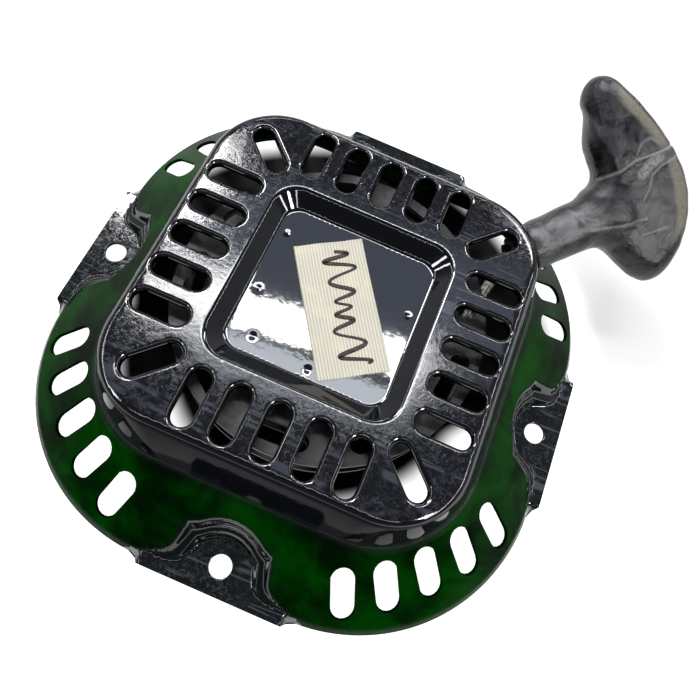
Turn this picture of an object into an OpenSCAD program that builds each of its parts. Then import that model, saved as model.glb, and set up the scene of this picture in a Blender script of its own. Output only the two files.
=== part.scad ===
// Recoil starter of a small single-cylinder diesel engine: a pressed steel
// housing with a spring-wound rope reel, a two-pawl clutch and a rubber T handle.
// Millimetres. Z = 0 is the mounting plane (underside of the four ears), the
// origin lies on the reel axis and +Z points away from the engine.

/* [Housing] */
// Half width of the rim, side to side
rim_half = 96.5; // [93:0.1:116]
// Corner radius of the rim outline
rim_corner = 69; // [64:0.5:76]
// How far the rolled rim hangs below the mounting plane
rim_drop = 5; // [3:0.5:7]
// Half width of the flat top of the dome
dome_half = 60; // [58:0.5:68]
// Corner radius of the dome top
dome_corner = 24; // [20:0.5:28]
// Height of the dome top above the mounting plane
dome_height = 44; // [40:0.5:53]
// How far the wall's foot stands outside the dome top
wall_run = 10; // [8:0.5:11]
// How far the foot of the wall lies below the dome top
foot_drop = 24; // [20:0.5:27]
// Thickness of the pressed sheet
sheet = 1.2; // [1:0.1:1.5]

/* [Recess] */
// Half width of the recess at the dome top
recess_half = 33.5; // [31:0.5:34.5]
// Half width of the flat recess floor
recess_floor_half = 27.5; // [25:0.5:29]
// Depth of the recess
recess_depth = 5; // [4:0.5:6]

/* [Air openings] */
// Slots along each side of the dome top
slots_per_side = 5; // [3:1:5]
// Spacing of those slots
slot_pitch = 13.16; // [12:0.01:13.5]
// Length of a slot
slot_length = 19; // [15:0.5:20]
// Width of a slot
slot_width = 7; // [5:0.5:8]
// Distance of the corner slots from the axis
corner_slot_radius = 60; // [58:0.5:61]
// Vents at each corner of the skirt
vents_per_corner = 5; // [3:1:5]
// Angle between neighbouring vents
vent_step = 9.2; // [9:0.1:10]
// Width of a vent
vent_width = 8; // [6:0.5:9]
// Inner end of the vents
vent_in = 83; // [82:0.5:86]
// Outer end of the vents
vent_out = 100; // [95:0.5:100]

/* [Mounting] */
// How far an ear reaches past the rim
ear_overhang = 2.4; // [1:0.1:4]
// Distance of a mounting hole from the ear's outer edge
hole_inset = 9.6; // [8:0.1:11]
// Diameter of a mounting hole
bolt_hole = 8; // [6:0.1:9]
// Half width of an ear at its outer edge
ear_half = 26.5; // [24:0.1:27]
// Radius of the arched end of the ear pocket
pocket_radius = 12; // [10:0.5:13]

/* [Reel] */
// Radius of the centre post
post_radius = 7; // [6:0.1:8.4]
// Radius of the spring cavity
cavity_radius = 26; // [23:0.1:32]
// Depth of the spring cavity
cavity_depth = 10.1; // [9:0.1:11]
// Radial clearance of a running fit
fit = 0.06; // [0.04:0.01:0.08]

/* [Clutch] */
// Distance of the pawl pins from the axis
pin_circle = 22; // [21:0.1:26.4]
// Radius of a pawl pin
pin_radius = 2.5; // [2:0.1:3]
// Thickness of a pawl
pawl_thick = 4.2; // [3.5:0.1:5.1]
// Swing of a pawl from rest to full engagement
pawl_swing = 26.4; // [20:0.1:28]
// Turn of the ratchet guide that swings the pawls out
guide_swing = 24; // [20:0.5:28]

/* [Rope and handle] */
// Diameter of the rope
rope_d = 4.2; // [3.5:0.01:5.1]
// Upward tilt of the rope outlet and handle
outlet_tilt = 16.5; // [10:0.5:20]
// Roll of the handle about its stem
handle_roll = 30; // [-60:1:60]
// Radius of the handle stem at the nose
stem_radius = 9.4; // [8.5:0.1:10]
// Thickness of the handle's head
head_thick = 20; // [17:0.5:24]

/* [Label] */
// Width of the tape label in the recess
label_width = 24; // [18:0.5:24]
// Length of the tape label
label_length = 49; // [38:0.5:49]

/* [Hidden] */
$fn = 64;
eps = 0.01;
corner_steps = 8;

// Plan of the housing
foot_half = dome_half + wall_run;
foot_corner = dome_corner + 17;
ear_reach = rim_half + ear_overhang;
bolt_circle = 2 * (ear_reach - hole_inset);

// Rope on the reel: two layers, two and three turns wide
rope_lay = rope_d - 0.2;
groove_slack = 0.7;
groove_radius = cavity_radius + 3;
groove_height = 2 * rope_d + groove_slack;
// The flanges reach well past the rope, and their outer part has air windows
flange_margin = 12.3;
function turn_radius(k) = groove_radius + rope_d / 2 + k * rope_lay;
reel_radius = turn_radius(2) + rope_d / 2 + flange_margin;
windows = 9;
window_width = 6.6;
window_length = 20;
window_radius = reel_radius - 7.1;

// Stack of pieces along the axis, from the recess floor down to the bolt head
floor_under = dome_height - recess_depth - sheet;
plate_thick = 1.5;
plate_radius = 24;
plate_z = floor_under - plate_thick;
reel_gap = 0.7;
reel_top = plate_z - reel_gap;
flange = 2;
groove_top = reel_top - flange;
groove_floor = groove_top - groove_height;
cavity_floor = reel_top - cavity_depth;
deck_thick = 3;
deck_top = groove_floor - flange;
hub_depth = 7.5;
hub_radius = pin_circle + pin_radius + 2.5;
deck_radius = hub_radius + 11;
reel_bottom = deck_top - hub_depth;
bush_wall = 1.5;
rope_slot_angle = 60;
rope_slot_radius = hub_radius + 5.5;
rope_slot_width = 5;
reel_knot_radius = 3.6;
washer_thick = 0.55;
axial_gap = 0.05;
thrust_z = reel_bottom - axial_gap - washer_thick;
guide_hub_top = thrust_z - axial_gap;
guide_hub_radius = post_radius + 3;
guide_thick = 2.6;
pawl_gap = 0.4;
pawl_z = reel_bottom - pawl_gap - pawl_thick;
guide_z = pawl_z - pawl_gap - 0.2 - guide_thick;
guide_radius = pin_circle + 11;
keeper_thick = 1.2;
keeper_radius = post_radius + 5;
post_bottom = guide_z - 0.2;
keeper_z = post_bottom - keeper_thick;
bolt_radius = 4;
bolt_flange = 1.6;
bolt_flange_radius = 10;
bolt_head = 3.5;
bolt_head_across = 13;
bolt_reach = 15;

// Rope outlet and handle axis, at the +X +Y corner
outlet_azimuth = 45;
dome_edge_drop = 4.5;
function diagonal(half, corner) = (half - corner) * sqrt(2) + corner;
rope_z = groove_top - 0.2 - rope_d / 2;
wall_top_diag = diagonal(dome_half + 0.8, dome_corner + 0.3);
wall_foot_diag = diagonal(foot_half, foot_corner);
outlet_z = dome_height - 14.8;
outlet_share = (dome_height - dome_edge_drop - outlet_z) / (foot_drop - dome_edge_drop);
outlet_radius = wall_top_diag + (wall_foot_diag - wall_top_diag) * outlet_share + 3;
boss_radius = rope_d / 2 + 7.9;
boss_in = -6.5;
boss_face = -3;
eyelet_bore = rope_d / 2 + 0.5;
eyelet_radius = eyelet_bore + 2.6;
eyelet_flange_radius = eyelet_radius + 3.2;
eyelet_flange = 1.4;
eyelet_in = -9.5;
clip_thick = 1;
nose = boss_face + eyelet_flange + 0.1;
stem_end = 30;
knot_floor = 48;
knot_radius = 6.4;
core_radius = rope_d / 2 + 3.1;

// ---------- shared shapes ----------

// One closed ring of a square with rounded corners
function ring(half, corner, z) = [
    for (q = [0:3]) for (i = [0:corner_steps - 1])
        let (t = 90 * q + 90 * i / (corner_steps - 1),
             sx = (q == 0 || q == 3) ? 1 : -1,
             sy = q < 2 ? 1 : -1)
        [sx * (half - corner) + corner * cos(t), sy * (half - corner) + corner * sin(t), z]
];

// Stations of the pressed profile: half width, corner radius, height (outer face)
profile = [
    [recess_floor_half, 6, dome_height - recess_depth],
    [recess_floor_half + 1.6, 7, dome_height - recess_depth + 0.6],
    [recess_half - 1.2, 8.6, dome_height - 0.7],
    [recess_half + 0.8, 9.8, dome_height],
    [dome_half - 3, dome_corner - 2.4, dome_height],
    [dome_half - 0.8, dome_corner - 0.8, dome_height - 1],
    [dome_half + 0.8, dome_corner + 0.3, dome_height - dome_edge_drop],
    [foot_half - 2.6, foot_corner - 3.4, dome_height - foot_drop + 6],
    [foot_half, foot_corner, dome_height - foot_drop],
    [foot_half + 5, foot_corner + 4.6, dome_height - foot_drop - 4],
    [(foot_half + 2 * rim_half) / 3 - 3.5, rim_corner - 13, 9.5],
    [rim_half - 2, rim_corner - 2, 0.2],
    [rim_half, rim_corner, -2],
    [rim_half, rim_corner, -rim_drop]
];
function unit(v) = v / norm(v);
function slope(p, i) = i == 0 ? [1, 0] : unit([p[min(i + 1, len(p) - 1)][0] - p[i - 1][0],
    p[min(i + 1, len(p) - 1)][2] - p[i - 1][2]]);
function inward(p, i) = let (s = slope(p, i)) [s[1] * sheet, s[1] * sheet, -s[0] * sheet];
function inner_face(p) = [for (i = [0:len(p) - 1]) p[i] + inward(p, i)];
function backwards(p) = [for (i = [len(p) - 1:-1:0]) p[i]];

module loft(stations) {
    n = 4 * corner_steps;
    last = len(stations) - 1;
    points = [for (s = stations) each ring(s[0], s[1], s[2])];
    sides = [for (k = [0:last - 1]) for (i = [0:n - 1])
        let (a = k * n + i, b = k * n + (i + 1) % n)
        each [[a, b, a + n], [b, b + n, a + n]]];
    caps = [[for (i = [n - 1:-1:0]) i], [for (i = [0:n - 1]) last * n + i]];
    polyhedron(points = points, faces = concat(sides, caps), convexity = 6);
}

module stadium(length, width) {
    square([length - width, width], center = true);
    for (x = [-1, 1]) translate([x * (length - width) / 2, 0]) circle(d = width, $fn = 16);
}

module around(n) { for (k = [0:n - 1]) rotate(360 / n * k) children(); }

module tube(r_out, r_in, h) {
    difference() {
        cylinder(r = r_out, h = h);
        translate([0, 0, -1]) cylinder(r = r_in, h = h + 2);
    }
}

// Frame of the outlet: local X runs out along the rope, local Z is the head's normal
module outlet_frame() {
    translate([outlet_radius * cos(outlet_azimuth), outlet_radius * sin(outlet_azimuth), outlet_z])
        rotate([0, 0, outlet_azimuth]) rotate([0, -outlet_tilt, 0]) rotate([handle_roll, 0, 0])
            children();
}
module along_outlet(from) { outlet_frame() translate([from, 0, 0]) rotate([0, 90, 0]) children(); }

// ---------- housing ----------

module pocket_outline(grow) {
    difference() {
        union() {
            translate([bolt_circle / 2 + 2, 0]) circle(r = pocket_radius + grow, $fn = 32);
            polygon([[bolt_circle / 2, pocket_radius + grow], [bolt_circle / 2 + 4, pocket_radius + 3 + grow],
                [ear_reach, ear_half], [ear_reach + 8, ear_half], [ear_reach + 8, -ear_half],
                [ear_reach, -ear_half], [bolt_circle / 2 + 4, -pocket_radius - 3 - grow],
                [bolt_circle / 2, -pocket_radius - grow]]);
        }
        translate([ear_reach + (grow == 0 ? 9 : 0), -50]) square([30, 100]);
    }
}

// Section of the body below the skirt's outer face, along the flat part of a side
module under_skirt() {
    rotate([90, 0, 0]) linear_extrude(2 * ear_half, center = true)
        polygon([for (s = profile) if (s[2] >= 0 && s[0] > dome_half) [s[0], s[2]], [rim_half - 2, 0],
            [ear_reach, 0], [ear_reach, -eps], [dome_half, -eps]]);
}

module ear() {
    linear_extrude(sheet) pocket_outline(sheet);
    intersection() {
        difference() {
            linear_extrude(dome_height) pocket_outline(sheet);
            translate([0, 0, sheet - eps]) linear_extrude(dome_height) pocket_outline(0);
        }
        under_skirt();
    }
}

module pocket_cut() {
    translate([0, 0, -eps]) linear_extrude(dome_height) pocket_outline(0);
    translate([rim_half - 12, -ear_half, -rim_drop - 1]) cube([20, 2 * ear_half, rim_drop + 1]);
}

module top_slots() {
    slot_middle = (recess_half + dome_half) / 2 + 1.4;
    translate([0, 0, dome_height - 3]) linear_extrude(6) around(4) {
        for (k = [0:slots_per_side - 1])
            translate([slot_middle, (k - (slots_per_side - 1) / 2) * slot_pitch])
                stadium(slot_length, slot_width);
        rotate(45) translate([corner_slot_radius, 0]) stadium(slot_length, slot_width);
    }
}

module skirt_vents() {
    for (q = [0:3]) for (k = [0:vents_per_corner - 1])
        rotate(45 + 90 * q + (k - (vents_per_corner - 1) / 2) * vent_step)
            translate([(vent_in + vent_out) / 2, 0, -rim_drop])
                linear_extrude(dome_height) stadium(vent_out - vent_in, vent_width);
}

module housing() {
    color([0.05, 0.07, 0.06]) difference() {
        union() {
            difference() {
                loft(concat(profile, backwards(inner_face(profile))));
                around(4) pocket_cut();
                top_slots();
                skirt_vents();
            }
            around(4) ear();
            along_outlet(boss_in) cylinder(r = boss_radius, h = boss_face - boss_in);
        }
        around(4) translate([bolt_circle / 2, 0, -1]) cylinder(d = bolt_hole, h = sheet + 2);
        along_outlet(boss_in - 2) cylinder(r = eyelet_radius, h = 12);
    }
}

module tape_label() {
    color([0.9, 0.87, 0.76]) translate([2.8, -0.2, dome_height - recess_depth]) rotate(33.2)
        linear_extrude(0.2) square([label_width, label_length], center = true);
}

// ---------- centre post and fasteners ----------

module post_plate() {
    color("dimgray") translate([0, 0, plate_z]) cylinder(r = plate_radius, h = plate_thick);
}

module centre_post() {
    color("silver") translate([0, 0, post_bottom]) difference() {
        cylinder(r = post_radius, h = plate_z - post_bottom);
        translate([0, 0, -1]) cylinder(r = bolt_radius, h = bolt_reach + 1);
    }
}

module retaining_washer() {
    color("silver") translate([0, 0, keeper_z]) tube(keeper_radius, bolt_radius + fit, keeper_thick);
}

module centre_bolt() {
    color("goldenrod") {
        translate([0, 0, keeper_z - eps]) cylinder(r = bolt_radius, h = keeper_thick + bolt_reach - 1);
        translate([0, 0, keeper_z - bolt_flange]) cylinder(r = bolt_flange_radius, h = bolt_flange);
        translate([0, 0, keeper_z - bolt_flange - bolt_head])
            cylinder(d = bolt_head_across / cos(30), h = bolt_head + eps, $fn = 6);
    }
}

module thrust_washer() {
    color("silver") translate([0, 0, thrust_z]) tube(post_radius + 4.5, post_radius + fit, washer_thick);
}

// ---------- rope outlet ----------

module rope_eyelet() {
    color("silver") along_outlet(eyelet_in) difference() {
        union() {
            cylinder(r = eyelet_radius - fit, h = boss_face - eyelet_in);
            translate([0, 0, boss_face - eyelet_in])
                cylinder(r = eyelet_flange_radius, h = eyelet_flange);
        }
        translate([0, 0, -1]) cylinder(r = eyelet_bore, h = 14);
    }
}

module eyelet_clip() {
    color("gray") along_outlet(boss_in - clip_thick) tube(eyelet_radius + 1.6, eyelet_radius - fit, clip_thick);
}

// ---------- reel ----------

module reel() {
    color([0.12, 0.12, 0.13]) difference() {
        union() {
            translate([0, 0, groove_top]) cylinder(r = reel_radius, h = flange);
            translate([0, 0, groove_floor]) cylinder(r = groove_radius, h = groove_height);
            translate([0, 0, deck_top]) cylinder(r = reel_radius, h = flange);
            translate([0, 0, deck_top - deck_thick]) cylinder(r = deck_radius, h = deck_thick);
            translate([0, 0, reel_bottom]) cylinder(r = hub_radius, h = hub_depth);
        }
        translate([0, 0, cavity_floor]) cylinder(r = cavity_radius, h = cavity_depth + 1);
        translate([0, 0, reel_bottom - 1]) cylinder(r = post_radius + fit + bush_wall, h = 50);
        for (k = [0, 1]) rotate(180 * k) {
            translate([pin_circle, 0, reel_bottom - 1]) cylinder(r = pin_radius, h = 5.5 + 1);
            rotate(rope_slot_angle) translate([rope_slot_radius, 0, deck_top - deck_thick - 1])
                linear_extrude(deck_thick + flange + 2) stadium(8, rope_slot_width);
        }
        for (k = [0:windows - 1]) rotate(360 / windows * k - 8) translate([window_radius, 0, deck_top - 1])
            linear_extrude(reel_top - deck_top + 2) rotate(90) stadium(window_length, window_width);
    }
}

module reel_bush() {
    color("darkgoldenrod") translate([0, 0, reel_bottom])
        tube(post_radius + fit + bush_wall, post_radius + fit, cavity_floor - reel_bottom);
}

spring_strip = 0.8;
spring_turns = 9;
spring_in = post_radius + 2;
spring_out = cavity_radius - spring_strip - 0.1;
spring_gap = 0.9;
function spiral(a, shift) = let (r = spring_in + (spring_out - spring_in) * a / (360 * spring_turns) + shift)
    [r * cos(a), r * sin(a)];

module recoil_spring() {
    color("steelblue") translate([0, 0, cavity_floor + spring_gap])
        linear_extrude(cavity_depth - spring_gap - 1.4)
            polygon(concat([for (a = [0:20:360 * spring_turns]) spiral(a, 0)],
                [for (a = [360 * spring_turns:-20:0]) spiral(a, spring_strip)]));
}

module spring_cover() {
    color("gray") translate([0, 0, reel_top - 1]) tube(cavity_radius, post_radius + 3, 0.8);
}

rope_layers = [groove_floor + rope_d / 2 + 0.2, rope_z];

module rope_coil() {
    color("whitesmoke") {
        for (z = rope_layers) for (k = [0, 1]) translate([0, 0, z])
            rotate_extrude() translate([turn_radius(k), 0]) circle(d = rope_d, $fn = 24);
        translate([0, 0, rope_layers[0]])
            rotate_extrude() translate([turn_radius(2), 0]) circle(d = rope_d, $fn = 24);
        translate([0, 0, (rope_layers[0] + rope_layers[1]) / 2])
            rotate_extrude() translate([turn_radius(0.5), 0]) circle(d = 3, $fn = 24);
    }
}

module reel_knot() {
    drop = sqrt(pow(reel_knot_radius, 2) - pow(rope_slot_width / 2, 2));
    color("whitesmoke") rotate(rope_slot_angle)
        translate([rope_slot_radius, 0, deck_top - deck_thick - drop])
            sphere(r = reel_knot_radius, $fn = 32);
}

// The rope leaves its turn on a tangent and runs to the eyelet
run_radius = turn_radius(2) + 0.4;
run_in_radius = outlet_radius + (eyelet_in - 0.2) * cos(outlet_tilt);
run_in_z = outlet_z + (eyelet_in - 0.2) * sin(outlet_tilt);
run_angle = outlet_azimuth - acos(run_radius / run_in_radius);
run_start = [run_radius * cos(run_angle), run_radius * sin(run_angle), rope_z];
run_end = [run_in_radius * cos(outlet_azimuth), run_in_radius * sin(outlet_azimuth), run_in_z];

module rod(p, q, r) {
    d = q - p;
    translate(p) rotate([0, acos(d[2] / norm(d)), atan2(d[1], d[0])]) cylinder(r = r, h = norm(d), $fn = 24);
}

module rope_run() { color("whitesmoke") rod(run_start, run_end, rope_d / 2 - 0.15); }

// ---------- clutch ----------

pawl_arm = 26;
pawl_angle = 100;
peg_arm = 14;
peg_radius = 1.6;
peg_fit = 0.25;
function polar(r, a) = [r * cos(a), r * sin(a)];
function peg_at(g) = [pin_circle, 0] + polar(peg_arm, pawl_angle - pawl_swing * g / guide_swing);
function turned(p, a) = [p[0] * cos(a) - p[1] * sin(a), p[0] * sin(a) + p[1] * cos(a)];
function peg_in_guide(g) = turned(peg_at(g), g);
function slot_side(g, side) = let (d = unit(peg_in_guide(g + 0.1) - peg_in_guide(g - 0.1)))
    peg_in_guide(g) + side * (peg_radius + peg_fit) * [-d[1], d[0]];

module pawl_pin(k) {
    color("silver") rotate(180 * k) translate([pin_circle, 0, pawl_z])
        cylinder(r = pin_radius, h = reel_bottom - pawl_z + 5.5);
}

module pawl(k) {
    color("darkgray") rotate(180 * k) translate([pin_circle, 0, pawl_z]) difference() {
        union() {
            linear_extrude(pawl_thick) rotate(pawl_angle) {
                hull() {
                    circle(r = pin_radius + 2.4);
                    translate([peg_arm, 0.4]) circle(r = 3.6);
                }
                hull() {
                    translate([peg_arm, 0.4]) circle(r = 3.6);
                    translate([pawl_arm - 2, -1.4]) square([2, 4.6]);
                }
            }
            rotate(pawl_angle) translate([peg_arm, 0, -guide_thick - 0.4])
                cylinder(r = peg_radius, h = guide_thick + 1);
        }
        translate([0, 0, -5]) cylinder(r = pin_radius + fit, h = pawl_thick + 10);
    }
}

module ratchet_guide() {
    color([0.75, 0.75, 0.7]) difference() {
        union() {
            translate([0, 0, guide_z]) cylinder(r = guide_radius, h = guide_thick);
            translate([0, 0, guide_z]) cylinder(r = guide_hub_radius, h = guide_hub_top - guide_z);
        }
        translate([0, 0, guide_z - 1]) cylinder(r = post_radius + fit, h = 30);
        for (k = [0, 1]) rotate(180 * k) translate([0, 0, guide_z - 1]) linear_extrude(guide_thick + 2) {
            polygon(concat([for (g = [0:3:guide_swing]) slot_side(g, 1)],
                [for (g = [guide_swing:-3:0]) slot_side(g, -1)]));
            for (g = [0, guide_swing]) translate(peg_in_guide(g)) circle(r = peg_radius + peg_fit, $fn = 32);
        }
        for (k = [0, 1]) rotate(115 + 180 * k) translate([21, 0, guide_z - 1])
            cylinder(r = 5, h = guide_thick + 2);
    }
}

module friction_clip() {
    clip_wire = 0.7;
    color("steelblue") translate([0, 0, guide_z + guide_thick + 1.4])
        rotate([0, 0, 30]) rotate_extrude(angle = 300)
            translate([guide_hub_radius + clip_wire, 0]) circle(r = clip_wire, $fn = 20);
}

// ---------- handle ----------

// Outline of the head in the plane of the T: out along the stem, then across it
head_outline = [[24, -9], [27, -14], [30, -21], [33, -27], [38, -31], [43, -30], [50, -23],
    [56, -13], [58.5, -3], [58.5, 6], [56.5, 17], [53, 27], [49, 37], [46, 44], [42, 47], [37, 45.5],
    [34.5, 41], [35, 36], [33, 31], [31, 26], [31.5, 20], [31.5, 15], [29, 11], [24, 9.5]];

module head_layer(inset, thick) {
    linear_extrude(thick, center = true)
        offset(r = 3 - inset, $fn = 24) offset(delta = -3) polygon(head_outline);
}

module handle_grip() {
    color([0.16, 0.17, 0.18]) outlet_frame() difference() {
        union() {
            translate([nose, 0, 0]) rotate([0, 90, 0])
                cylinder(r1 = stem_radius - 0.6, r2 = stem_radius, h = 3);
            translate([nose + 3, 0, 0]) rotate([0, 90, 0])
                cylinder(r1 = stem_radius, r2 = stem_radius + 0.8, h = stem_end);
            head_layer(0, head_thick - 7);
            head_layer(1.2, head_thick - 3);
            head_layer(3, head_thick);
        }
        translate([nose - 1, 0, 0]) rotate([0, 90, 0]) cylinder(r = core_radius, h = knot_floor - nose);
        translate([knot_floor - 1 - eps, 0, 0]) rotate([0, 90, 0]) cylinder(r = knot_radius, h = 20);
    }
}

module handle_core() {
    color("gray") along_outlet(nose) tube(core_radius, rope_d / 2 + 0.3, knot_floor - 1 - nose);
}

module handle_washer() {
    color("silver") along_outlet(knot_floor - 1) tube(knot_radius - 0.2, rope_d / 2 + 0.3, 1);
}

module handle_knot() {
    color("whitesmoke") outlet_frame() intersection() {
        translate([knot_floor + 3.8, 0, 0]) sphere(r = 4.4, $fn = 32);
        translate([knot_floor, 0, 0]) rotate([0, 90, 0]) cylinder(r = 6, h = 12);
    }
}

module rope_lead() {
    color("whitesmoke") along_outlet(nose) cylinder(r = rope_d / 2, h = knot_floor - nose, $fn = 24);
}

housing();
post_plate();
centre_post();
centre_bolt();
retaining_washer();
thrust_washer();
rope_eyelet();
eyelet_clip();
rope_run();
tape_label();
reel();
reel_bush();
spring_cover();
recoil_spring();
rope_coil();
reel_knot();
pawl_pin(0);  // pawl_pin_1
pawl_pin(1);  // pawl_pin_2
pawl(0);  // pawl_1
pawl(1);  // pawl_2
ratchet_guide();
friction_clip();
handle_grip();
handle_core();
handle_washer();
handle_knot();
rope_lead();
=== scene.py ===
"""Looks of a recoil starter: pressed housing, rubber T handle, rope, reel and clutch, on the CAD frame.

Lengths inside the shape functions are millimetres in the row frame, and MM turns them into metres.
"""
import math

import bpy
import numpy as np
from mathutils import Matrix, Vector
from mathutils.geometry import delaunay_2d_cdt


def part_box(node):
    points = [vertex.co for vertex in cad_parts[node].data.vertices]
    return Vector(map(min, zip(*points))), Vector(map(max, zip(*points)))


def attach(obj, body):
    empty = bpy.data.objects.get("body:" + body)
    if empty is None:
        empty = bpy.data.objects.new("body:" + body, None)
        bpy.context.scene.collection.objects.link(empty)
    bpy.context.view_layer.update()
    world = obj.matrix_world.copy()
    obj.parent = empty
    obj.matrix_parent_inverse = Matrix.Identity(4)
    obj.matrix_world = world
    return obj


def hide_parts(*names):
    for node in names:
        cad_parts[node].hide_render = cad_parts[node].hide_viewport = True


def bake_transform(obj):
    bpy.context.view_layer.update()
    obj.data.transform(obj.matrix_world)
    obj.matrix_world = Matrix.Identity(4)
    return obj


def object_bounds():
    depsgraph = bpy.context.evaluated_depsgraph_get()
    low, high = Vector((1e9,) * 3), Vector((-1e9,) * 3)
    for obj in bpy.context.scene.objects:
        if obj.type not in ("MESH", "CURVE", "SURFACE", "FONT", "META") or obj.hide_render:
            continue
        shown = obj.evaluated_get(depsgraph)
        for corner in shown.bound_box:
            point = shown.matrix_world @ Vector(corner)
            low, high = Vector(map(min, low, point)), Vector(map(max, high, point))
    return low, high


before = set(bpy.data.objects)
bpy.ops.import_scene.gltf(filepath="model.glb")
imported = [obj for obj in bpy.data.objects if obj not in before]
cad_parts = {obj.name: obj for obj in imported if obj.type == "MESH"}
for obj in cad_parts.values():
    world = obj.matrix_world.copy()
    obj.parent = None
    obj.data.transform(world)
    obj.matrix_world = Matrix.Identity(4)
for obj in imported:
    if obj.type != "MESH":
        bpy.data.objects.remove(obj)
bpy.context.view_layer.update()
MM = 0.001

# ---------------------------------------------------------------- camera

# Fitted to the slots, rims and ears in the photo: metres, degrees and millimetres of lens
CAMERA_PLACE = (0.0147, -0.0802, 0.2211)
CAMERA_AZIMUTH = 2.82
CAMERA_ELEVATION = 69.65
CAMERA_ROLL = 20.75
CAMERA_LENS = 30.81


def make_camera():
    az, el = math.radians(CAMERA_AZIMUTH), math.radians(CAMERA_ELEVATION)
    back = Vector((math.sin(az) * math.cos(el), -math.cos(az) * math.cos(el), math.sin(el)))
    level = Vector((math.cos(az), math.sin(az), 0))
    turned = back.cross(level)
    roll = math.radians(CAMERA_ROLL)
    right = math.cos(roll) * level + math.sin(roll) * turned
    up = back.cross(right)
    data = bpy.data.cameras.new("camera")
    data.lens = CAMERA_LENS
    data.clip_start = 0.01
    camera = bpy.data.objects.new("camera", data)
    camera.matrix_world = Matrix((
        (right.x, up.x, back.x, CAMERA_PLACE[0]),
        (right.y, up.y, back.y, CAMERA_PLACE[1]),
        (right.z, up.z, back.z, CAMERA_PLACE[2]),
        (0, 0, 0, 1)))
    bpy.context.collection.objects.link(camera)
    bpy.context.scene.camera = camera


make_camera()
bpy.context.scene.view_settings.view_transform = "Standard"

# ---------------------------------------------------------------- housing shape

SHEET = 1.2
TOP_Z = 44.0
RIM_HALF = 96.5
EAR_REACH = 98.9
EAR_HALF = 26.5
EAR_CHAMFER = 3.0
EAR_TOP = SHEET
HOLE_AT = 89.3
HOLE_RADIUS = 4.0
SLOT_LENGTH, SLOT_WIDTH = 19.0, 7.0
SLOT_PITCH = 13.16
SLOT_MIDDLE = 48.15
CORNER_SLOT_AT = 60.0
VENT_IN, VENT_OUT, VENT_WIDTH, VENT_STEP = 83.0, 100.0, 8.0, 9.2
LIP = 1.6
LIP_DROP = 1.3
RIM_LIP = 2.9
PUNCH_EDGE = 0.35

# Profile of the outer face: half side, height, fillet radius
PROFILE = [(0, 39, 0), (28, 39, 1.8), (33.3, TOP_Z, 2.2), (60.2, TOP_Z, 4.0), (67.6, 23.6, 6.5),
           (75, 17.2, 12), (94.6, 1.0, 2.4), (RIM_HALF, -2.2, 0)]
CORNERS = [(0, 0), (27.5, 6), (33.5, 9.6), (60, 24), (70, 41), (RIM_HALF, 69)]


def rounded_path(points, steps=14):
    """Polyline of (x, y, radius) with each corner replaced by an arc."""
    out = [points[0][:2]]
    for before, at, after in zip(points, points[1:], points[2:]):
        p, q, r = (np.array(v[:2], float) for v in (before, at, after))
        u, w = (p - q) / np.linalg.norm(p - q), (r - q) / np.linalg.norm(r - q)
        half = math.acos(float(np.clip(u @ w, -1, 1))) / 2
        reach = min(at[2] / math.tan(half), 0.49 * np.linalg.norm(p - q), 0.49 * np.linalg.norm(r - q))
        radius = reach * math.tan(half)
        middle = q + (u + w) / np.linalg.norm(u + w) * radius / math.sin(half)
        first, last = q + u * reach - middle, q + w * reach - middle
        sweep = math.atan2(first[0] * last[1] - first[1] * last[0], first @ last)
        for k in range(steps + 1):
            c, s = math.cos(sweep * k / steps), math.sin(sweep * k / steps)
            out.append(tuple(middle + (first[0] * c - first[1] * s, first[0] * s + first[1] * c)))
    out.append(points[-1][:2])
    return np.array(out, float)


PROFILE_TABLE = rounded_path(PROFILE)
CORNER_TABLE = np.array(CORNERS, float)


def corner_radius(half):
    return np.interp(half, CORNER_TABLE[:, 0], CORNER_TABLE[:, 1])


def square_distance(x, y, half):
    r = corner_radius(half)
    qx, qy = np.abs(x) - (half - r), np.abs(y) - (half - r)
    outside = np.hypot(np.maximum(qx, 0), np.maximum(qy, 0))
    return outside + np.minimum(np.maximum(qx, qy), 0) - r


def station(x, y):
    """Half side of the rounded square of the family that passes through each point."""
    low, high = np.zeros_like(x), np.full_like(x, 130.0)
    for _ in range(34):
        middle = (low + high) / 2
        inside = square_distance(x, y, middle) < 0
        high = np.where(inside, middle, high)
        low = np.where(inside, low, middle)
    return (low + high) / 2


def ease(t):
    t = np.clip(t, 0, 1)
    return t * t * (3 - 2 * t)


def soft_min(a, b, k):
    h = np.clip(0.5 + 0.5 * (b - a) / k, 0, 1)
    return b + (a - b) * h - k * h * (1 - h)


POCKET_AT, POCKET_RADIUS = 92.2, 11.7
POCKET_BORDER, EARS_FROM = 6.2, 74.0
FLARE_FROM = 86.0


def pocket_distance(x, y):
    """Distance outside the flat floor of the nearest ear's pocket (negative on the floor)."""
    along, across = np.maximum(np.abs(x), np.abs(y)), np.minimum(np.abs(x), np.abs(y))
    arch = np.hypot(along - POCKET_AT, across) - POCKET_RADIUS
    t = np.clip((along - FLARE_FROM) / (EAR_REACH - FLARE_FROM), 0, 1.2)
    width = 9.0 + 17.0 * t ** 2.1
    lean = 17.0 * 2.1 * t ** 1.1 / (EAR_REACH - FLARE_FROM)
    flare = (across - width) / np.sqrt(1 + lean * lean)
    flare = np.maximum(flare, (FLARE_FROM - along) * 1.0)
    return soft_min(arch, flare, 2.5)


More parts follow.
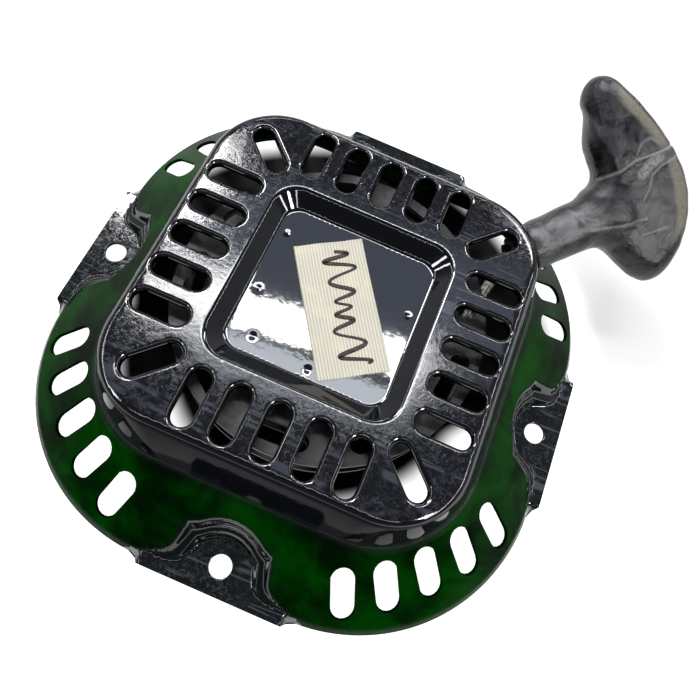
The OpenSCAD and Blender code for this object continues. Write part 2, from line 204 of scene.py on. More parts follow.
def openings():
    """Every opening as (kind, centre x, y, direction, half straight length, radius)."""
    made = []
    for q in range(4):
        turn = math.radians(90 * q)

        def place(x, y, angle, half, radius, kind):
            cx = x * math.cos(turn) - y * math.sin(turn)
            cy = x * math.sin(turn) + y * math.cos(turn)
            made.append((kind, cx, cy, turn + math.radians(angle), half, radius))

        straight = (SLOT_LENGTH - SLOT_WIDTH) / 2
        for k in range(-2, 3):
            place(SLOT_MIDDLE, k * SLOT_PITCH, 0, straight, SLOT_WIDTH / 2, "slot")
        d = CORNER_SLOT_AT / math.sqrt(2)
        place(d, d, 45, straight, SLOT_WIDTH / 2, "slot")
        for k in range(-2, 3):
            angle = 45 + k * VENT_STEP
            middle = (VENT_IN + VENT_OUT) / 2
            place(middle * math.cos(math.radians(angle)), middle * math.sin(math.radians(angle)),
                  angle, (VENT_OUT - VENT_IN - VENT_WIDTH) / 2, VENT_WIDTH / 2, "vent")
        place(HOLE_AT, 0, 0, 0, HOLE_RADIUS, "hole")
    return made


OPENINGS = openings()


def opening_distance(x, y, kinds):
    nearest = np.full(x.shape, 99.0)
    for kind, cx, cy, angle, half, radius in OPENINGS:
        if kind in kinds:
            c, s = math.cos(angle), math.sin(angle)
            u, v = (x - cx) * c + (y - cy) * s, -(x - cx) * s + (y - cy) * c
            nearest = np.minimum(nearest, np.hypot(np.maximum(np.abs(u) - half, 0), v) - radius)
    return nearest


def quarter_drop(distance, radius):
    d = np.clip(radius - distance, 0, radius)
    return radius - np.sqrt(np.maximum(radius * radius - d * d, 0))


# Small weld dimples in the recess floor
DIMPLES = [(-24.5, 17.5), (-24.5, -5.5), (-19, -21.5), (24.5, 6.5), (1.5, -24.6)]


def height(x, y, punched=True):
    """Outer face of the pressed sheet as a height over the plan."""
    half = station(x, y)
    skirt = np.interp(half, PROFILE_TABLE[:, 0], PROFILE_TABLE[:, 1])
    along, across = np.maximum(np.abs(x), np.abs(y)), np.minimum(np.abs(x), np.abs(y))
    gap = pocket_distance(x, y)
    rise = 0.58 * ease((gap + 0.2) / 2.4) + 0.42 * ease((gap - 3.4) / 2.8)
    ear = EAR_TOP + np.maximum(skirt - EAR_TOP, 0) * rise
    zone = 1 - ease((across - EAR_HALF + 0.6) / (EAR_CHAMFER - 0.2))
    zone = zone * ease((along - 70) / 2)
    z = skirt * (1 - zone) + ear * zone
    for wx, wy in DIMPLES:
        z = z - 0.17 * np.exp(-((x - wx) ** 2 + (y - wy) ** 2) / 1.2)
    z = z - quarter_drop(opening_distance(x, y, ("slot",)), LIP)
    if punched:
        z = z - quarter_drop(opening_distance(x, y, ("vent", "hole")), PUNCH_EDGE)
    return z


def normals(x, y, punched=True, step=0.03):
    gx = (height(x + step, y, punched) - height(x - step, y, punched)) / (2 * step)
    gy = (height(x, y + step, punched) - height(x, y - step, punched)) / (2 * step)
    n = np.stack([-gx, -gy, np.ones_like(gx)], 1)
    return n / np.linalg.norm(n, axis=1, keepdims=True)


def ring_points(half, per_side=22, per_corner=26):
    r = float(corner_radius(half))
    straight = half - r
    quarter = [(half, straight * (2 * k / per_side - 1)) for k in range(per_side)]
    for k in range(per_corner):
        t = math.pi / 2 * k / per_corner
        quarter.append((straight + r * math.cos(t), straight + r * math.sin(t)))
    points = []
    for q in range(4):
        c, s = round(math.cos(math.pi / 2 * q)), round(math.sin(math.pi / 2 * q))
        points += [(x * c - y * s, x * s + y * c) for x, y in quarter]
    return np.array(points, float)


LEVELS = [(2, 26, 7), (26.4, 30, 9), (31, 31, 1), (31.8, 35.4, 10), (37, 56, 8), (56.4, 59.5, 7),
          (73.6, 76, 4), (77.5, 92, 9), (93, 96.2, 8)]
# Rings down the wall, kept whole in the mesh; the dull enamel starts at WALL_FROM
WALL_FROM = 60.5
WALL_RINGS = (60.0, 60.5, 61.0, 61.5, 62.2, 63.0, 63.8, 64.8, 65.8, 66.4, 67.0, 67.6, 68.3, 69.0, 69.8,
              70.7, 71.6, 72.6)


def stadium_ring(opening, grow, steps=9):
    _, cx, cy, angle, half, radius = opening
    c, s = math.cos(angle), math.sin(angle)
    points = []
    straight = max(1, int(half * 2 / 1.6)) if half else 0
    for side, start in ((1, -90), (-1, 90)):
        for k in range(steps + 1):
            t = math.radians(start + 180 * k / steps)
            points.append((side * half + (radius + grow) * math.cos(t), (radius + grow) * math.sin(t)))
        for k in range(1, straight):
            points.append((side * half * (1 - 2 * k / straight), side * (radius + grow)))
    if not half:
        points = [((radius + grow) * math.cos(2 * math.pi * k / 28),
                   (radius + grow) * math.sin(2 * math.pi * k / 28)) for k in range(28)]
    u = np.array(points, float)
    return np.stack([cx + u[:, 0] * c - u[:, 1] * s, cy + u[:, 0] * s + u[:, 1] * c], 1)


def outline():
    """Plan outline of the pressing: rim arcs joined by the straight ears."""
    ring = ring_points(RIM_HALF, per_side=44, per_corner=60)
    across = np.minimum(np.abs(ring[:, 0]), np.abs(ring[:, 1]))
    keep = ring[across > EAR_HALF + EAR_CHAMFER]
    tabs = []
    for q in range(4):
        c, s = round(math.cos(math.pi / 2 * q)), round(math.sin(math.pi / 2 * q))
        for v in np.linspace(-EAR_HALF, EAR_HALF, 27):
            tabs.append((EAR_REACH * c - v * s, EAR_REACH * s + v * c))
        for sign in (-1, 1):
            u, v = EAR_REACH - 1.2, sign * (EAR_HALF + EAR_CHAMFER / 2)
            tabs.append((u * c - v * s, u * s + v * c))
    points = np.concatenate([keep, np.array(tabs)])
    order = np.argsort(np.arctan2(points[:, 1], points[:, 0]))
    return points[order]


def inside_outline(x, y):
    along, across = np.maximum(np.abs(x), np.abs(y)), np.minimum(np.abs(x), np.abs(y))
    ear = (along < EAR_REACH) & (across < EAR_HALF)
    step = (across >= EAR_HALF) & (across < EAR_HALF + EAR_CHAMFER)
    edge = EAR_REACH - (across - EAR_HALF) * (EAR_REACH - RIM_HALF) / EAR_CHAMFER
    return (square_distance(x, y, np.float64(RIM_HALF)) < 0) | ear | (step & (along < edge))


def plan_mesh():
    """Triangles over the plan, with an edge loop round every opening. Returns points, triangles, loops."""
    points, edges, loops = [], [], []

    def add_loop(ring):
        start = sum(len(p) for p in points)
        n = len(ring)
        points.append(ring)
        edges.extend((start + k, start + (k + 1) % n) for k in range(n))
        return list(range(start, start + n))

    loops.append(("rim", add_loop(outline())))
    for opening in OPENINGS:
        grows = (0, 0.06, 0.25, 0.55, 0.95, LIP) if opening[0] == "slot" else (0, 0.08, 0.2, PUNCH_EDGE)
        for grow in grows:
            ids = add_loop(stadium_ring(opening, grow))
            if grow == 0:
                loops.append((opening[0], ids))
    for half in WALL_RINGS:
        add_loop(ring_points(half, per_side=40, per_corner=40))
    grid = [ring_points(h) for low, high, n in LEVELS for h in np.linspace(low, high, n)]
    grid.append(np.array([[0.0, 0.0]]))
    for gap in (-0.4, 0.2, 0.8, 1.4, 2.0, 2.8, 3.6, 4.4, 5.2, 6.2):
        grid.append(pocket_ring(gap))
    grid.append(ear_fill())
    rim = outline()
    run = np.roll(rim, -1, 0) - np.roll(rim, 1, 0)
    inward = np.stack([-run[:, 1], run[:, 0]], 1) / np.linalg.norm(run, axis=1, keepdims=True)
    for step in (0.5, 1.1, 1.8, 2.7):
        grid.append(rim + step * inward)
    for wx, wy in DIMPLES:
        for k, r in enumerate((0.0, 0.35, 0.7, 1.05, 1.5, 2.1, 2.9)):
            t = np.linspace(0, 2 * np.pi, 8 + 4 * k, endpoint=False) + 0.2 * k
            grid.append(np.stack([wx + r * np.cos(t), wy + r * np.sin(t)], 1))
    grid = np.concatenate(grid)
    x, y = grid[:, 0], grid[:, 1]
    clear = (opening_distance(x, y, ("slot",)) > LIP + 0.35)
    clear &= opening_distance(x, y, ("vent", "hole")) > PUNCH_EDGE + 0.3
    clear &= inside_outline(x * 1.003, y * 1.003)
    grid = grid[clear]
    _, first = np.unique(np.round(grid / 0.12).astype(int), axis=0, return_index=True)
    points.append(grid[np.sort(first)])
    every = np.concatenate(points)
    made = delaunay_2d_cdt([Vector(p) for p in every], edges, [], 0, 1e-5, True)
    verts, tris, origins = made[0], made[2], made[3]
    where = {o: i for i, from_ in enumerate(origins) for o in from_}
    xy = np.array([tuple(v) for v in verts], float)
    tri = np.array([t for t in tris if len(t) == 3], int)
    middle = xy[tri].mean(1)
    good = (opening_distance(middle[:, 0], middle[:, 1], ("slot", "vent", "hole")) > 0)
    good &= inside_outline(middle[:, 0], middle[:, 1])
    return xy, tri[good], [(kind, [where[i] for i in ids]) for kind, ids in loops]


def four_ways(u, v):
    """The same points at all four ears."""
    return np.concatenate([np.stack(pair, 1) for pair in ((u, v), (-v, u), (-u, -v), (v, -u))])


def pocket_ring(gap):
    """Points at one distance from the pocket floor, found by walking out from the hole."""
    angles = np.radians(np.linspace(-118, 118, 75))
    angles = angles + math.pi
    low, high = np.full(angles.shape, 3.0), np.full(angles.shape, 34.0)
    for _ in range(24):
        middle = (low + high) / 2
        x, y = POCKET_AT + middle * np.cos(angles), middle * np.sin(angles)
        inside = pocket_distance(x, y) < gap
        low, high = np.where(inside, middle, low), np.where(inside, high, middle)
    u, v = POCKET_AT + low * np.cos(angles), low * np.sin(angles)
    keep = (np.abs(v) < EAR_HALF + 2) & (u < EAR_REACH - 0.3) & (low < 33.5)
    return four_ways(u[keep], v[keep])


def ear_fill():
    u, v = np.meshgrid(np.arange(82, EAR_REACH - 0.4, 1.5), np.arange(-EAR_HALF - 2, EAR_HALF + 2.1, 1.5))
    u, v = u.ravel(), v.ravel()
    keep = pocket_distance(u, v) < -0.8
    return four_ways(u[keep], v[keep])


def new_mesh(name, verts, faces, vertex_normals=None):
    mesh = bpy.data.meshes.new(name)
    mesh.from_pydata([tuple(v) for v in np.asarray(verts) * MM], [], [tuple(f) for f in faces])
    mesh.validate()
    mesh.shade_smooth()
    if vertex_normals is not None:
        mesh.normals_split_custom_set_from_vertices([tuple(n) for n in vertex_normals])
    piece = bpy.data.objects.new(name, mesh)
    bpy.context.collection.objects.link(piece)
    return piece


def housing_mesh():
    xy, tri, loops = plan_mesh()
    x, y = xy[:, 0], xy[:, 1]
    used = np.zeros(len(xy), bool)
    used[tri.ravel()] = True
    outer = np.stack([x, y, height(x, y)], 1)
    outer_n = normals(x, y)
    base_n = normals(x, y, punched=False)
    inner = np.stack([x, y, height(x, y, punched=False)], 1) - SHEET * base_n
    verts = [outer, inner]
    norms = [outer_n, -base_n]
    count = len(xy)
    faces = [tuple(t) for t in tri] + [tuple(t[::-1] + count) for t in tri]
    total = 2 * count

    def strip(top, bottom, top_n, bottom_n, flip):
        nonlocal total
        n = len(top)
        verts.extend([top, bottom])
        norms.extend([top_n, bottom_n])
        for k in range(n):
            a, b = total + k, total + (k + 1) % n
            quad = (a, b, b + n, a + n)
            faces.append(quad[::-1] if flip else quad)
        total += 2 * n

    down = np.array([[0, 0, -1.0]])
    for kind, ids in loops:
        top_out, top_in = outer[ids], inner[ids]
        n_out = outer_n[ids].copy()
        drop = np.zeros(len(ids))
        if kind == "slot":
            drop[:] = LIP_DROP
        if kind == "rim":
            across = np.minimum(np.abs(top_out[:, 0]), np.abs(top_out[:, 1]))
            drop = RIM_LIP * ease((across - EAR_HALF - 0.5) / (EAR_CHAMFER + 1.0))
        out_low = top_out + drop[:, None] * down
        in_low = top_in + drop[:, None] * down
        if kind == "rim":
            in_low[:, 2] += (out_low[:, 2] - in_low[:, 2]) * drop / RIM_LIP
        run = np.roll(top_out, -1, 0) - np.roll(top_out, 1, 0)
        side = np.stack([run[:, 1], -run[:, 0], 0 * drop], 1)
        side = side / np.maximum(np.linalg.norm(side, axis=1, keepdims=True), 1e-6)
        if kind == "rim":
            back = top_out - 0.25 * side
            n_out = outer_n[ids] = normals(back[:, 0], back[:, 1])
        else:
            side = -side
        edge_n = np.repeat(down, len(ids), 0)
        opening = kind != "rim"
        if kind in ("slot", "rim"):
            strip(top_out, out_low, n_out if kind == "slot" else side, side, opening)
            strip(top_in, in_low, -side, -side, not opening)
            strip(out_low, in_low, edge_n, edge_n, opening)
        else:
            strip(top_out, top_in, side, side, opening)
    piece = new_mesh("housing_shell", np.concatenate(verts), faces, np.concatenate(norms))
    return piece


# ---------------------------------------------------------------- tubes

def smooth_points(points, count):
    """Points evenly spaced along a polyline."""
    p = np.asarray(points, float)
    length = np.concatenate([[0], np.cumsum(np.linalg.norm(np.diff(p, axis=0), axis=1))])
    t = np.linspace(0, length[-1], count)
    return np.stack([np.interp(t, length, p[:, k]) for k in range(3)], 1), t


def tube(name, path, radius, sides=14, along=None, relief=0.0, pitch=5.2, caps=True):
    """A tube with a braid in its UV map (turns along, share round) and, with relief, in its shape."""
    path = np.asarray(path, float)
    step = np.gradient(path, axis=0)
    step /= np.linalg.norm(step, axis=1, keepdims=True)
    side = np.cross(step[0], [0, 0, 1.0])
    if np.linalg.norm(side) < 0.1:
        side = np.cross(step[0], [0, 1.0, 0])
    if along is None:
        along = np.concatenate([[0], np.cumsum(np.linalg.norm(np.diff(path, axis=0), axis=1))])
    verts, rings = [], len(path)
    for k in range(rings):
        side = side - step[k] * (side @ step[k])
        side /= np.linalg.norm(side)
        other = np.cross(step[k], side)
        t = 2 * np.pi * np.arange(sides) / sides
        phase = 2 * np.pi * along[k] / pitch
        lump = 1 + relief * (np.cos(4 * t + phase) * np.cos(4 * t - phase))
        r = (radius[k] if np.ndim(radius) else radius) * lump
        verts.append(path[k] + np.outer(np.cos(t) * r, side) + np.outer(np.sin(t) * r, other))
    faces = []
    for k in range(rings - 1):
        for j in range(sides):
            a, b = k * sides + j, k * sides + (j + 1) % sides
            faces.append((a, b, b + sides, a + sides))
    verts = np.concatenate(verts)
    if caps:
        faces.append(tuple(range(sides))[::-1])
        faces.append(tuple(range((rings - 1) * sides, rings * sides)))
    piece = new_mesh(name, verts, faces)
    uv = piece.data.uv_layers.new(name="UVMap").data
    for poly in piece.data.polygons:
        seam = len(poly.vertices) == 4 and max(v % sides for v in poly.vertices) == sides - 1 \
            and min(v % sides for v in poly.vertices) == 0
        for loop in poly.loop_indices:
            v = piece.data.loops[loop].vertex_index
            share = (v % sides) / sides
            if seam and share < 0.5:
                share += 1
            uv[loop].uv = (along[v // sides] / pitch, share)
    return piece


# ---------------------------------------------------------------- outlet frame

OUTLET_AT = (58.08, 58.08, 29.2)
OUTLET_TILT = 16.5
HANDLE_ROLL = 30.0
OUTLET = (Matrix.Translation(Vector(OUTLET_AT)) @ Matrix.Rotation(math.radians(45), 4, "Z")
          @ Matrix.Rotation(math.radians(-OUTLET_TILT), 4, "Y")
          @ Matrix.Rotation(math.radians(HANDLE_ROLL), 4, "X"))
OUTLET_TURN = np.array(OUTLET.to_3x3())


def from_outlet(points):
    return np.asarray(points, float) @ OUTLET_TURN.T + np.array(OUTLET_AT)


# ---------------------------------------------------------------- handle

# Outline of the head and its creases in the outlet frame, measured on the photo and rounded
HEAD_OUTLINE = [(24, -9), (27, -14), (30, -21), (33, -27), (38, -31), (43, -30), (50, -23), (56, -13),
                (58.5, -3), (58.5, 6), (56.5, 17), (53, 27), (49, 37), (46, 44), (42, 47), (37, 45.5),
                (34.5, 41), (35, 36), (33, 31), (31, 26), (31.5, 20), (31.5, 15), (29, 11), (24, 9.5)]
NOSE, STEM_END, KNOT_FLOOR, KNOT_POCKET, CORE = -1.5, 34.0, 48.0, 6.4, 5.2
HEAD_HALF_THICK = 9.9
CREASES = [
    ([(25, 12), (29, 14), (36, 14), (42, 15.5), (50, 15), (58, 15)], 0.6, 0.45),
    ([(57, 11), (50, 10), (46, 8), (44, 4), (41, 1)], 0.4, 0.4),
    ([(20, -1), (30, -4), (40, -6)], 0.22, 0.45),
    ([(37, -11), (47, -12)], 0.25, 0.35),
    ([(43, 17), (46, 20), (49, 20.5), (51, 18)], 0.2, 0.3),
]


def rounded_loop(points, rounds=3):
    p = np.array(points, float)
    for _ in range(rounds):
        after = np.roll(p, -1, 0)
        p = np.stack([0.75 * p + 0.25 * after, 0.25 * p + 0.75 * after], 1).reshape(-1, 2)
    return p


HEAD_LOOP = rounded_loop(HEAD_OUTLINE)


def line_distance(a, b, points):
    best = np.full(a.shape, 99.0)
    for p, q in zip(points, points[1:]):
        dx, dy = q[0] - p[0], q[1] - p[1]
        t = np.clip(((a - p[0]) * dx + (b - p[1]) * dy) / (dx * dx + dy * dy), 0, 1)
        best = np.minimum(best, np.hypot(a - p[0] - t * dx, b - p[1] - t * dy))
    return best


def loop_distance(a, b):
    loop = np.vstack([HEAD_LOOP, HEAD_LOOP[:1]])
    best = line_distance(a, b, [tuple(v) for v in loop])
    inside = np.zeros(a.shape, bool)
    for p, q in zip(loop, loop[1:]):
        cross = (p[1] > b) != (q[1] > b)
        if cross.any():
            inside ^= cross & (a < (q[0] - p[0]) * (b - p[1]) / (q[1] - p[1] + 1e-12) + p[0])
    return np.where(inside, -best, best)


def grip_field(a, b, w, flat=None):
    """Signed distance to the rubber grip in the outlet frame."""
    flat = loop_distance(a, b) if flat is None else flat
    bend = 8.2 - 3.4 * ease((a - 38) / 14)
    q1, q2 = flat + bend - 0.6, np.abs(w) - HEAD_HALF_THICK + bend
    q2 = q2 + 0.0016 * (b - 8) ** 2
    head = np.minimum(np.maximum(q1, q2), 0) + np.hypot(np.maximum(q1, 0), np.maximum(q2, 0)) - bend
    radius = 8.95 + 1.1 * (a - NOSE) / 36 + 0.25 * np.exp(-((a - 3) / 2.5) ** 2)
    round_ = np.hypot(b, w) - radius
    cap = np.maximum(NOSE - a, a - STEM_END)
    k1, k2 = round_ + 1.1, cap + 1.1
    stem = np.minimum(np.maximum(k1, k2), 0) + np.hypot(np.maximum(k1, 0), np.maximum(k2, 0)) - 1.1
    grip = soft_min(stem, head, 4.6)
    top = np.clip(w / 3, 0, 1)
    for line, deep, wide in CREASES:
        d = line_distance(a, b, line)
        grip = grip + top * deep * np.exp(-(d / wide) ** 2)
    rib = line_distance(a, b, [(33.5, 42), (33.5, 28), (35, 20), (35, 15)])
    grip = grip - top * 0.45 * np.exp(-(rib / 0.8) ** 2)
    rib = line_distance(a, b, [(36.5, 42), (36, 31)])
    grip = grip - top * 0.3 * np.exp(-(rib / 0.7) ** 2)
    grip = grip + 0.35 * top * np.exp(-((a - 6) ** 2 + (b - 1.6) ** 2) / 9.0)
    grip = grip + 0.12 * np.sin(a * 0.55 + 1.3 * np.sin(b * 0.33)) * np.sin(b * 0.47 + w * 0.3)
    parting = np.exp(-(w / 0.35) ** 2) * 0.12
    grip = grip - parting
    hole = np.maximum(np.hypot(b, w) - CORE - 0.05, a - KNOT_FLOOR)
    pocket = np.maximum(np.hypot(b, w) - KNOT_POCKET + 0.05, KNOT_FLOOR - 1.0 - a)
    lip = np.hypot(np.hypot(b, w) - KNOT_POCKET, a - 58.6) - 1.0
    pocket = soft_min(pocket, lip, 0.8)
    return np.maximum(grip, -np.minimum(hole, pocket))


def surface_net(low, high, step, field):
    """Quads on the zero level of a field sampled on a grid, one vertex in each crossed cell."""
    axes = [np.arange(l, h + step, step) for l, h in zip(low, high)]
    f = field(*np.meshgrid(*axes, indexing="ij"))
    n = f.shape
    corner = np.array([(i, j, k) for i in (0, 1) for j in (0, 1) for k in (0, 1)])
    values = np.stack([f[i:n[0] - 1 + i, j:n[1] - 1 + j, k:n[2] - 1 + k] for i, j, k in corner], -1)
    crossed = (values.min(-1) < 0) & (values.max(-1) >= 0)
    cells = np.argwhere(crossed)
    value = values[crossed]
    total, count = np.zeros((len(cells), 3)), np.zeros(len(cells))
    for p in range(8):
        for q in range(p + 1, 8):
            if abs(corner[p] - corner[q]).sum() == 1:
                hit = (value[:, p] < 0) != (value[:, q] < 0)
                t = value[hit, p] / (value[hit, p] - value[hit, q])
                total[hit] += corner[p] + t[:, None] * (corner[q] - corner[p])
                count[hit] += 1
    verts = (cells + total / count[:, None]) * step + np.array(low)
    index = np.full(crossed.shape, -1)
    index[tuple(cells.T)] = np.arange(len(cells))
    faces = []
    for axis in range(3):
        u, v = (axis + 1) % 3, (axis + 2) % 3
        here = [slice(0, n[i] - 1) if i == axis else slice(1, n[i] - 1) for i in range(3)]
        there = list(here)
        there[axis] = slice(1, n[axis])
        first, second = f[tuple(here)] < 0, f[tuple(there)] < 0
        for sign in (0, 1):
            at = np.argwhere(first & ~second if sign == 0 else ~first & second)
            at[:, u] += 1
            at[:, v] += 1
            ring = []
            for du, dv in ((0, 0), (-1, 0), (-1, -1), (0, -1)):
                c = at.copy()
                c[:, u] += du
                c[:, v] += dv
                ring.append(index[tuple(c.T)])
            quad = np.stack(ring if sign == 0 else ring[::-1], 1)
            faces.append(quad[(quad >= 0).all(1)])
    return verts, np.concatenate(faces)


def settle(verts, field, rounds=3, h=0.05):
    for _ in range(rounds):
        f = field(*verts.T)
        slopes = [(field(*(verts + h * e).T) - field(*(verts - h * e).T)) / (2 * h) for e in np.eye(3)]
        g = np.stack(slopes, 1)
        size = np.maximum((g * g).sum(1), 0.25)
        verts = verts - np.clip(f / size, -0.3, 0.3)[:, None] * g
    return verts


def grip_mesh():
    step = 0.6

    def on_grid(a, b, w):
        flat = loop_distance(a[:, :, 0], b[:, :, 0])[:, :, None]
        return grip_field(a, b, w, flat)

    verts, faces = surface_net((-3.5, -34, -12), (61, 50, 12), step, on_grid)
    verts = settle(verts, grip_field)
    piece = new_mesh("handle_head", from_outlet(verts), faces)
    a, b, w = verts.T
    flat = loop_distance(a, b)
    crown = ease((a - 38.5 - 0.10 * np.abs(b - 6)) / 4)
    inner = -5.8 - 1.6 * np.exp(-((b - 40) / 8) ** 2) - 1.2 * np.exp(-((b + 2) / 9) ** 2)
    band = ease((flat - inner) / 1.6) * (1 - ease((flat + 2.3) / 1.0)) * crown * ease((w - 2) / 3)
    band = band * ease((b + 19) / 5) * (1 - 0.8 * np.exp(-((b - 12.5) / 2.6) ** 2))
    # Pale lines along the creases, on the upper side: painted highlights.
    lines = np.zeros(len(verts))
    for line, deep, _ in CREASES:
        lines = np.maximum(lines, min(1, deep * 1.7 + 0.2) * np.exp(-(line_distance(a, b, line) / 0.42) ** 2))
    torn = ease((2.6 - line_distance(a, b, [(43, 10), (46, 12), (50, 13)])) / 1.5)
    # Lighter band along the top of the stem near the nose: a painted highlight.
    stem = (1 - ease((a - 20) / 12)) * np.exp(-((b - 2.5) / 5.0) ** 2) * ease(w / 5)
    upper = ease(w / 3)
    for name, values in (("wear", band), ("stem", stem), ("crease_highlight", lines * upper), ("torn", torn * upper)):
        layer = piece.data.attributes.new(name, "FLOAT", "POINT")
        layer.data.foreach_set("value", values.astype(np.float32))
    return piece


# ---------------------------------------------------------------- material graphs

class Graph:
    """A Principled material built by short calls. Lengths in its coordinates are millimetres."""

    def __init__(self, name, rough=0.5, metal=0.0, specular=0.5):
        self.material = bpy.data.materials.new(name)
        self.material.use_nodes = True
        self.tree = self.material.node_tree
        self.shader = self.tree.nodes["Principled BSDF"]
        put = self.shader.inputs
        put["Roughness"].default_value = rough
        put["Metallic"].default_value = metal
        put["Specular IOR Level"].default_value = specular
        where = self.node("ShaderNodeTexCoord")
        self.normal = where.outputs["Normal"]
        self.uv = where.outputs["UV"]
        self.place = self.scaled(where.outputs["Object"], (1000, 1000, 1000))
        self.axis = self.parts(self.place)
        self.facing = self.parts(self.normal)

    def node(self, kind, **values):
        made = self.tree.nodes.new(kind)
        for key, value in values.items():
            setattr(made, key, value)
        return made

    def set(self, socket, value):
        if isinstance(value, bpy.types.NodeSocket):
            self.tree.links.new(value, socket)
        else:
            if socket.type == "RGBA" and len(value) == 3:
                value = (*value, 1)
            socket.default_value = value

    def scaled(self, vector, scale, turn=(0, 0, 0)):
        made = self.node("ShaderNodeMapping")
        made.inputs["Scale"].default_value = scale
        made.inputs["Rotation"].default_value = turn
        self.set(made.inputs["Vector"], vector)
        return made.outputs[0]

    def parts(self, vector):
        made = self.node("ShaderNodeSeparateXYZ")
        self.set(made.inputs[0], vector)
        return made.outputs

    def noise(self, scale, detail=4.0, rough=0.55, vector=None, bend=0.0):
        made = self.node("ShaderNodeTexNoise")
        self.set(made.inputs["Vector"], self.place if vector is None else vector)
        for key, value in (("Scale", scale), ("Detail", detail), ("Roughness", rough), ("Distortion", bend)):
            made.inputs[key].default_value = value
        return made.outputs["Fac"]

    def ramp(self, value, low, high, a=0.0, b=1.0):
        """Smooth step of a value from low to high, giving a to b."""
        made = self.node("ShaderNodeMapRange", interpolation_type="SMOOTHSTEP")
        for k, v in enumerate((value, low, high, a, b)):
            self.set(made.inputs[k], v)
        return made.outputs[0]

    def math(self, kind, a, b=0.0):
        made = self.node("ShaderNodeMath", operation=kind)
        self.set(made.inputs[0], a)
        self.set(made.inputs[1], b)
        return made.outputs[0]

    def times(self, *values):
        out = values[0]
        for value in values[1:]:
            out = self.math("MULTIPLY", out, value)
        return out

    def most(self, a, b):
        return self.math("MAXIMUM", a, b)

    def mix(self, share, a, b):
        made = self.node("ShaderNodeMix", data_type="RGBA")
        self.set(made.inputs[0], share)
        self.set(made.inputs[6], a)
        self.set(made.inputs[7], b)
        return made.outputs[2]

    def bump(self, height, strength, distance):
        made = self.node("ShaderNodeBump")
        self.set(made.inputs["Height"], height)
        made.inputs["Strength"].default_value = strength
        made.inputs["Distance"].default_value = distance
        if self.shader.inputs["Normal"].is_linked:
            self.set(made.inputs["Normal"], self.shader.inputs["Normal"].links[0].from_socket)
        self.set(self.shader.inputs["Normal"], made.outputs[0])

    def look(self, color=None, rough=None, metal=None):
        for key, value in (("Base Color", color), ("Roughness", rough), ("Metallic", metal)):
            if value is not None:
                self.set(self.shader.inputs[key], value)
        return self.material


def scratches(g, turn, thin, share, scale=0.06):
    """Thin straight marks in one direction, broken up by a second noise."""
    line = g.noise(scale, 2, 0.5, g.scaled(g.place, (thin, 1, thin), (0, 0, math.radians(turn))))
    line = g.ramp(g.math("ABSOLUTE", g.math("SUBTRACT", line, 0.5)), 0.004, 0.016, 1, 0)
    return g.times(line, g.ramp(g.noise(0.09, 3), 0.5 - share, 0.62 - share))


def enamel(name, specular):
    g = Graph(name, specular=specular)
    z, up = g.axis[2], g.facing[2]
    # The green on the lower skirt and on faces turned down is a painted reflection of a green surface under
    # the part. It is laid over the near-black enamel, mottled darker by noise, and the ears' pockets keep the
    # black.
    low = g.ramp(g.math("ADD", z, g.times(g.math("SUBTRACT", g.noise(0.06), 0.5), 8.0)), 20, 27, 1, 0)
    under = g.ramp(up, -0.05, -0.3)
    top = g.times(g.ramp(z, 42.2, 43.4), g.ramp(up, 0.9, 0.985))
    ear = g.times(g.ramp(z, 4.0, 2.2), g.ramp(up, 0.93, 0.99), g.ramp(z, -0.2, 0.6))
    pocket = g.node("ShaderNodeAttribute", attribute_name="pocket").outputs["Fac"]
    painted_green_reflection = g.times(g.most(low, under), g.math("SUBTRACT", 1.0, g.times(pocket, 0.92)))
    shade = g.noise(0.045, 5, 0.6, bend=0.6)
    dark = g.mix(g.ramp(shade, 0.35, 0.7), (0.0001, 0.005, 0.0002), (0.0002, 0.036, 0.0003))
    base = g.mix(painted_green_reflection, (0.0035, 0.0038, 0.0055), dark)
    mottle = g.noise(0.5, 6, 0.72, bend=1.6)
    cloud = g.noise(0.035, 3, 0.5)
    film = g.times(g.ramp(mottle, 0.46, 0.64), g.ramp(cloud, 0.35, 0.62, 0.2, 1.0))
    lines = g.most(scratches(g, 20, 0.05, 0.1), scratches(g, -55, 0.045, 0.02))
    lines = g.most(lines, scratches(g, 72, 0.06, 0.04, 0.09))
    chips = g.ramp(g.noise(1.4, 3, 0.7), 0.66, 0.74)
    chipped = g.times(chips, g.ramp(cloud, 0.45, 0.6))
    worn = g.times(top, g.most(g.times(film, 0.5), g.most(g.times(lines, 0.7), chipped)))
    worn = g.most(worn, g.times(ear, g.most(g.times(film, 0.6), lines)))
    base = g.mix(g.times(worn, 0.5), base, (0.085, 0.09, 0.115))
    rough = g.math("ADD", g.times(g.most(top, ear), g.ramp(mottle, 0.4, 0.7, 0.0, 0.13)), 0.05)
    rough = g.math("ADD", rough, g.times(painted_green_reflection, g.ramp(shade, 0.3, 0.7, 0.08, 0.02)))
    g.bump(g.noise(0.35, 2, 0.5), 0.05, 0.0003)
    g.bump(g.times(top, mottle), 0.10, 0.0003)
    return g.look(base, rough)


